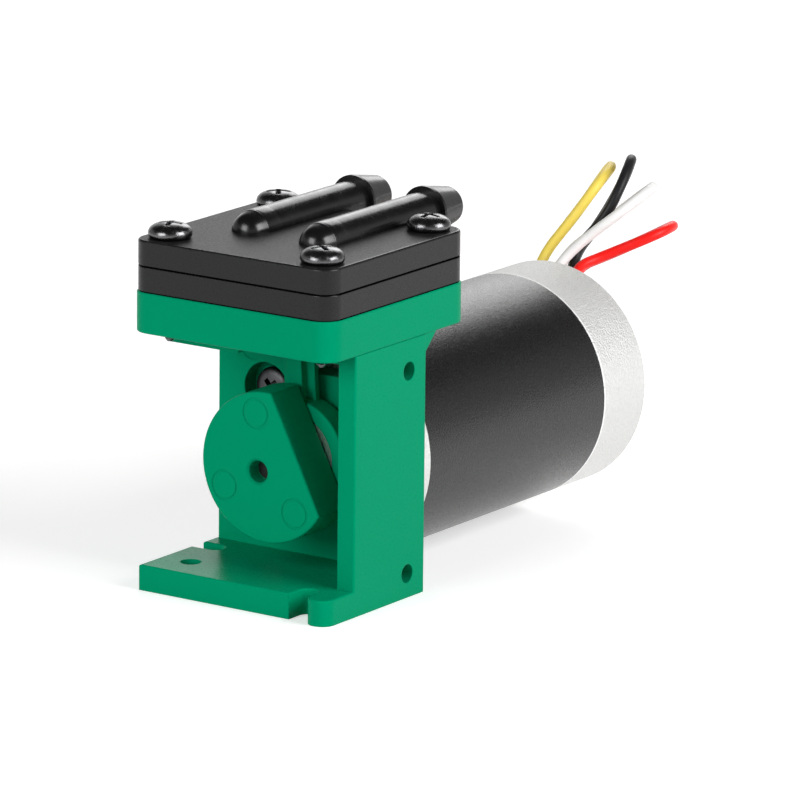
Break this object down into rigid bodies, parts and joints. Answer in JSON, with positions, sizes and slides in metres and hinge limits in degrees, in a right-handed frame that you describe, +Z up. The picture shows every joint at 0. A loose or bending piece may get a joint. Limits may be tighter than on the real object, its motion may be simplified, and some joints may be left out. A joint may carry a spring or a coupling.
{
  "type": "diaphragm vacuum pump",
  "caption": "Compact diaphragm vacuum pump: a square head with hose barbs on a moulded open frame, an eccentric crank and connecting rod below it, and a round motor behind.",
  "frame": {"origin": "underside of the foot plate, straight below the centre of the square head", "axes": "+Z up through the head, +Y along the motor towards its leads, +X towards the frame's side wall"},
  "size_m": [0.0487, 0.1249, 0.0585],
  "materials": {
    "green_plastic": "moulded, fine matt",
    "black_plastic": "moulded, fine grain",
    "dark_screw": "black nickel, polished",
    "black_rubber": "moulded rubber",
    "black_coated_steel": "satin black coating",
    "cap_aluminium": "fine blasted",
    "bearing_steel": "ground",
    "laminated_steel": "stacked sheet",
    "magnet": "sintered",
    "copper_winding": "enamelled wire",
    "board": "glass laminate",
    "lead_yellow": "soft insulation",
    "lead_white": "soft insulation",
    "lead_black": "soft insulation",
    "lead_red": "soft insulation"
  },
  "bodies": {
    "housing": {"frame": "green_plastic", "valve_plate": "black_plastic", "head_cover": "black_plastic", "head_screws": "dark_screw", "diaphragm": "black_rubber", "inlet_valve": "black_rubber", "outlet_valve": "black_rubber", "port_seals": "black_rubber", "motor_can": "black_coated_steel", "motor_front_cap": "cap_aluminium", "motor_rear_cap": "cap_aluminium", "motor_screws": "dark_screw", "front_bearing": "bearing_steel", "rear_bearing": "bearing_steel", "stator_core": "laminated_steel", "stator_windings": "copper_winding", "circuit_board": "board", "lead_grommet": "black_rubber", "lead_yellow": "lead_yellow", "lead_white": "lead_white", "lead_black": "lead_black", "lead_red": "lead_red"},
    "rotor": {"motor_shaft": "bearing_steel", "rotor_core": "laminated_steel", "rotor_magnet": "magnet", "crank_disc": "green_plastic", "crank_bearing_inner": "bearing_steel"},
    "rod": {"crank_bearing_outer": "bearing_steel", "connecting_rod": "green_plastic", "pressure_plate": "cap_aluminium", "diaphragm_screw": "dark_screw"}
  },
  "joints": [
    {"name": "shaft_spin", "type": "hinge", "parent": "housing", "child": "rotor", "pos_m": [0, -0.0012, 0.0196], "axis": [0, 1, 0], "continuous": true},
    {"name": "rod_pivot", "type": "hinge", "parent": "rotor", "child": "rod", "pos_m": [0.00147, -0.0012, 0.02049], "axis": [0, 1, 0], "continuous": true, "deforming": ["diaphragm"]}
  ],
  "couplings": [
    {"joint": "rod_pivot", "follows": "shaft_spin", "ratio": -1}
  ]
}
